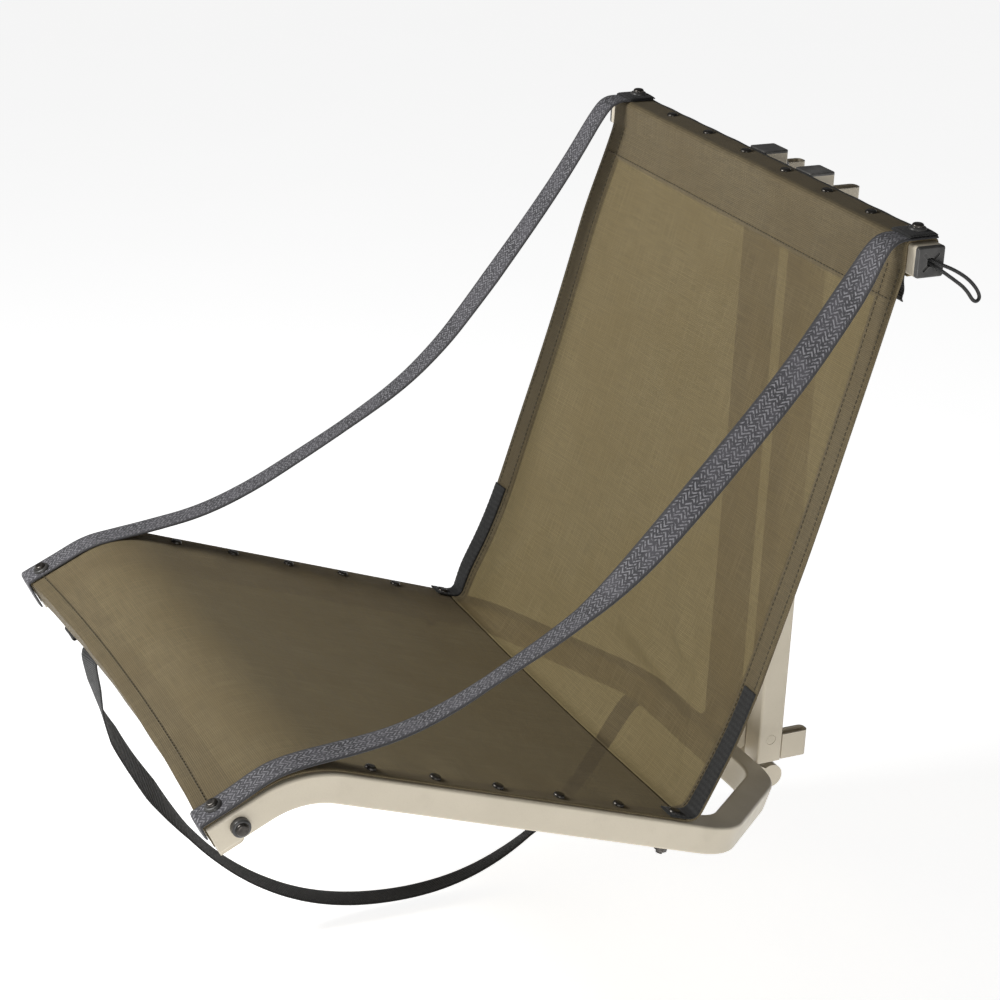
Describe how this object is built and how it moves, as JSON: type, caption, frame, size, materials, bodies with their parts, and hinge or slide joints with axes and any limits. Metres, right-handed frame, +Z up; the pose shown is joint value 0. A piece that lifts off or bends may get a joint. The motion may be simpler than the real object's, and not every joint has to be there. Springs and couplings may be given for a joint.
{
  "type": "hang-on sling seat",
  "caption": "Folding sling seat with a mesh seat and back on a square-tube frame, webbing side straps, and loops behind that hang it on a stand or swivel post.",
  "frame": {"origin": "midway between the two uprights, in the plane of their rear faces, level with the hinge pin", "axes": "+Z up along the uprights, +Y to the rear, towards the stand, +X to the left of a sitter, who faces -Y"},
  "size_m": [0.524, 0.6643, 0.7451],
  "materials": {
    "tan_powder_coat": "powder coat",
    "sling_mesh": "coated woven mesh",
    "grey_webbing": "woven webbing",
    "black_webbing": "woven webbing",
    "black_plastic": "moulded",
    "white_nylon": "moulded",
    "black_steel": "black oxide",
    "zinc_steel": "zinc plated",
    "shock_cord": "braided sleeve"
  },
  "bodies": {
    "back_frame": {"left_upright": "tan_powder_coat", "right_upright": "tan_powder_coat", "upright_caps": "black_plastic", "top_crossbar": "tan_powder_coat", "crossbar_spacers": "tan_powder_coat", "crossbar_bolts": "zinc_steel", "left_end_cap": "black_plastic", "right_end_cap": "black_plastic", "upper_hanger_loops": "tan_powder_coat", "lower_hanger_loops": "tan_powder_coat", "hinge_pin": "tan_powder_coat", "hinge_washers": "white_nylon", "sling_back": "sling_mesh", "left_crease_strip": "black_webbing", "right_crease_strip": "black_webbing", "left_side_strap": "grey_webbing", "right_side_strap": "grey_webbing", "strap_tail": "black_webbing", "top_screws": "black_steel", "top_corner_screws": "black_steel", "shock_cord_loop": "shock_cord", "shock_cord_knot": "shock_cord", "strap_end_pads": "black_webbing", "top_corner_collars": "black_plastic"},
    "seat_frame": {"seat_tube": "tan_powder_coat", "front_cross_tube": "tan_powder_coat", "cross_tube_inserts": "black_plastic", "front_bolt_collars": "black_plastic", "front_bolts": "black_steel", "hinge_lugs": "tan_powder_coat", "hinge_barrel": "tan_powder_coat", "stop_bar_ears": "tan_powder_coat", "stop_bar": "tan_powder_coat", "sling_seat": "sling_mesh", "carry_strap": "black_webbing", "rail_screws": "black_steel", "front_corner_screws": "black_steel", "carry_strap_screws": "black_steel", "crease_bolts": "black_steel", "crease_nuts": "black_steel", "front_end_tabs": "tan_powder_coat", "front_corner_collars": "black_plastic", "front_strap_tail": "black_webbing"}
  },
  "joints": [
    {"name": "seat_fold", "type": "hinge", "parent": "back_frame", "child": "seat_frame", "pos_m": [0, -0.0127, 0], "axis": [-1, 0, 0], "range_deg": [0, 64], "deforming": ["sling_back", "left_crease_strip", "right_crease_strip", "left_side_strap", "right_side_strap"]}
  ]
}
